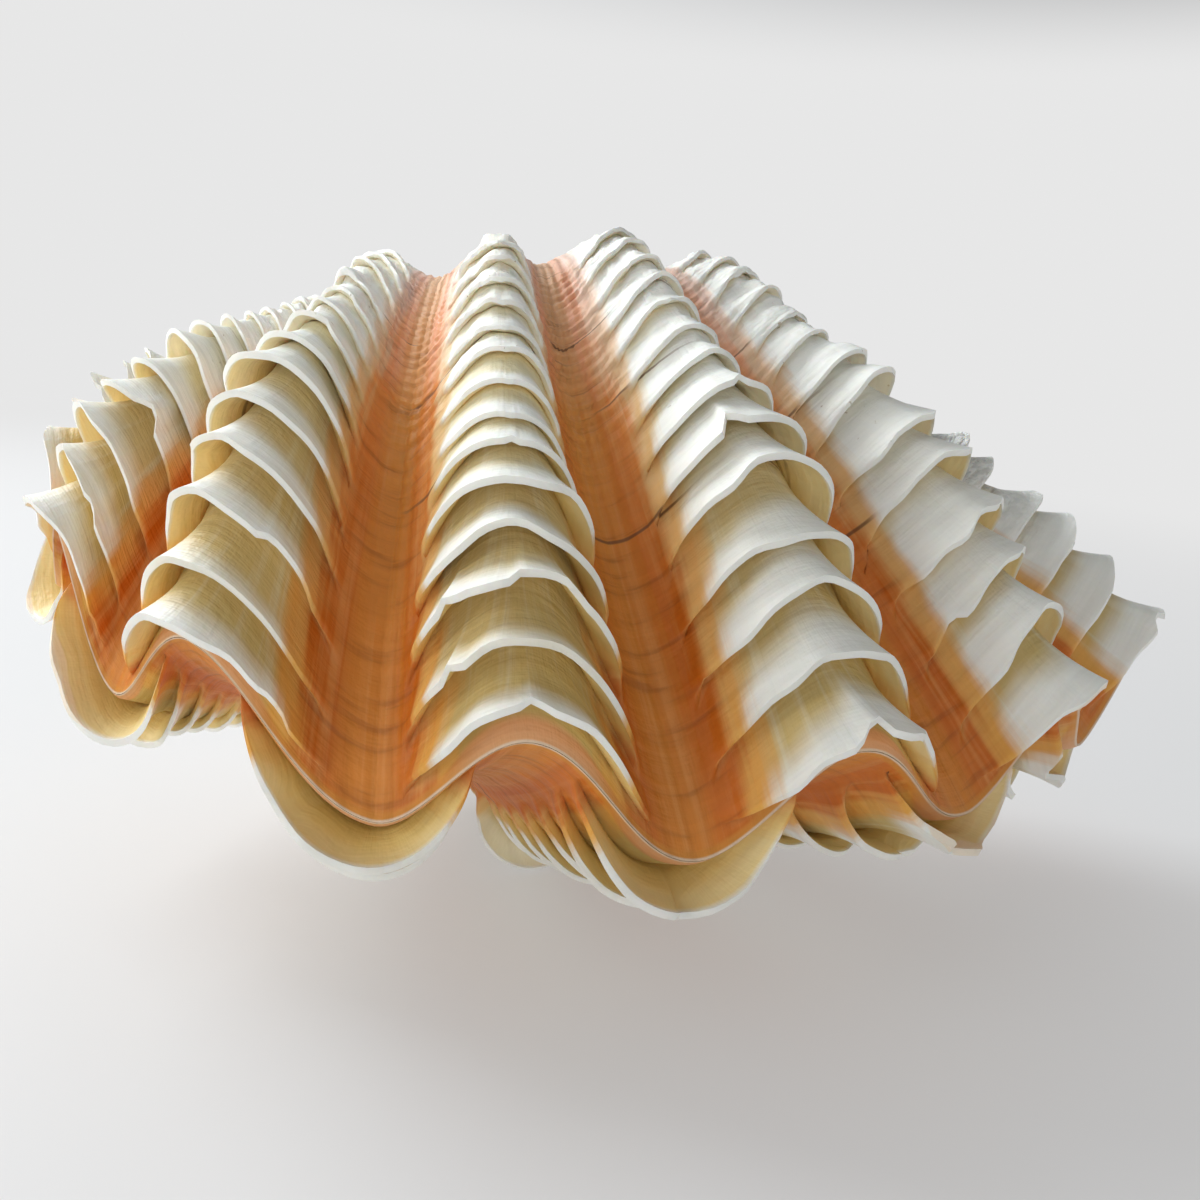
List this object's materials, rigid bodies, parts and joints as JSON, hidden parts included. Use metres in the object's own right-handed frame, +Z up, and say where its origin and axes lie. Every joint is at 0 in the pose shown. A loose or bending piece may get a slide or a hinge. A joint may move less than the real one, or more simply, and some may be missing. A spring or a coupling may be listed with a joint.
{
  "type": "giant clam shell",
  "caption": "Closed pair of fluted giant clam valves with deep ribs, leaf-like scutes and an interlocking wavy margin.",
  "frame": {"origin": "on the ground, under the middle of the shell's box as it rests", "axes": "+X along the shell's length towards its longer end, -Y towards the free margin, +Z up"},
  "size_m": [0.1952, 0.1062, 0.1032],
  "materials": {
    "upper_shell": "matte, faintly chalky",
    "lower_shell": "matte, faintly chalky"
  },
  "bodies": {
    "root": {"upper_valve": "upper_shell", "lower_valve": "lower_shell"}
  },
  "joints": []
}
